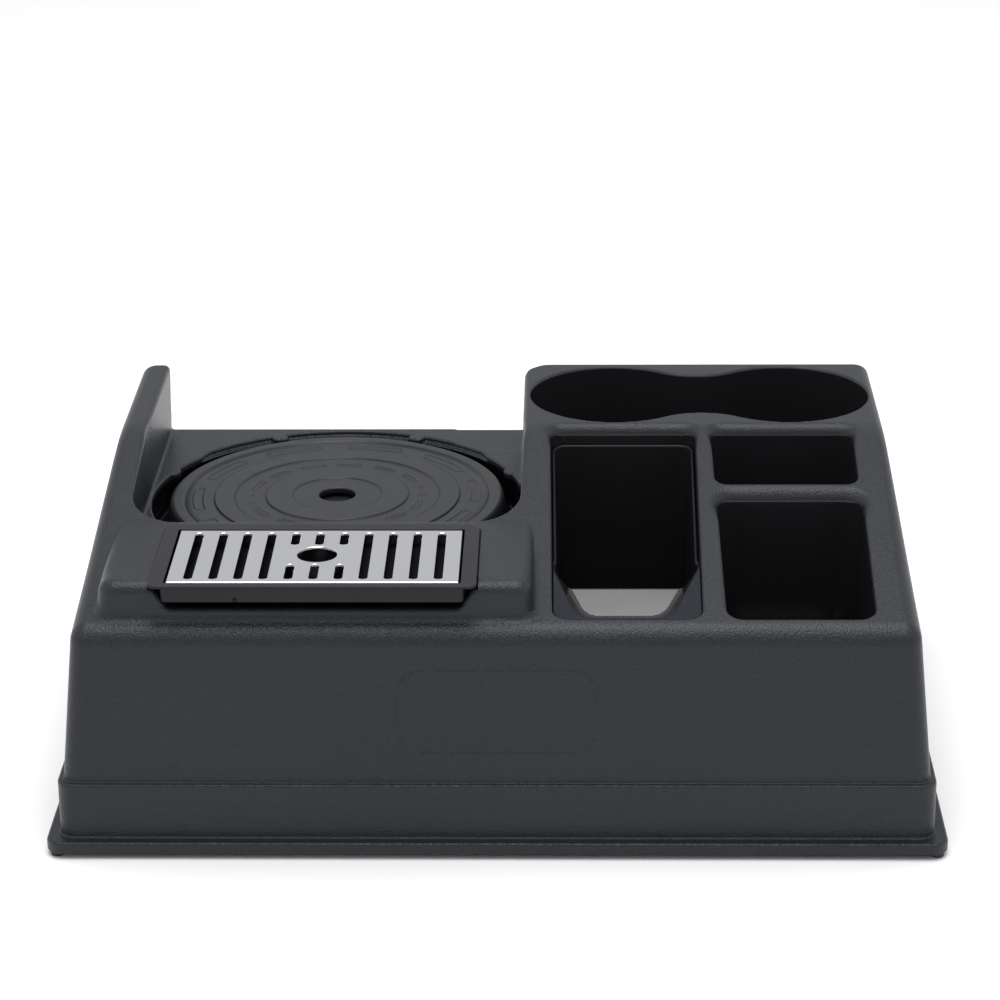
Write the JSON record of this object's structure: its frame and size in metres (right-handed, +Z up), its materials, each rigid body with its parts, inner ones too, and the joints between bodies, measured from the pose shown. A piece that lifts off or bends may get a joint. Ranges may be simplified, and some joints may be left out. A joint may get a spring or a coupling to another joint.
{
  "type": "coffee station stand",
  "caption": "Moulded coffee station stand with a turntable for a pump flask, a lift-out drip tray with slotted metal grate, a two-lobed cup well and open compartments.",
  "frame": {"origin": "centre of the footprint, at the bottom of the feet", "axes": "+X to the right along the width, +Y from the low front to the tall back, +Z up"},
  "size_m": [0.5, 0.36, 0.1757],
  "materials": {
    "grained_plastic": "fine pebble grain, satin",
    "disc_plastic": "smooth satin",
    "bearing_plastic": "smooth natural acetal",
    "ball_steel": "polished",
    "screw_steel": "zinc plated",
    "gloss_black": "gloss",
    "polished_steel": "polished",
    "foot_rubber": "matt"
  },
  "bodies": {
    "stand": {"body_shell": "grained_plastic", "race_ring": "bearing_plastic", "pivot_bush": "disc_plastic", "floor_screws": "screw_steel", "foot_front_left": "foot_rubber", "foot_front_right": "foot_rubber", "foot_back_left": "foot_rubber", "foot_back_right": "foot_rubber"},
    "turntable": {"turntable_disc": "disc_plastic"},
    "cage": {"ball_cage": "bearing_plastic", "bearing_balls": "ball_steel"},
    "tray": {"drip_tray": "gloss_black"},
    "grate": {"drip_grate": "polished_steel"},
    "liner": {"stick_liner": "gloss_black"}
  },
  "joints": [
    {"name": "turntable_spin", "type": "hinge", "parent": "stand", "child": "turntable", "pos_m": [-0.0994, 0.0433, 0.12], "axis": [0, 0, 1], "continuous": true},
    {"name": "cage_spin", "type": "hinge", "parent": "stand", "child": "cage", "pos_m": [-0.0994, 0.0433, 0.1156], "axis": [0, 0, 1], "continuous": true},
    {"name": "tray_lift", "type": "slide", "parent": "stand", "child": "tray", "axis": [0, 0, 1], "range_m": [0, 0.045]},
    {"name": "grate_lift", "type": "slide", "parent": "tray", "child": "grate", "axis": [0, 0, 1], "range_m": [0, 0.03]},
    {"name": "liner_lift", "type": "slide", "parent": "stand", "child": "liner", "axis": [0, 0, 1], "range_m": [0, 0.135]}
  ],
  "couplings": [
    {"joint": "cage_spin", "follows": "turntable_spin", "ratio": 0.5}
  ]
}
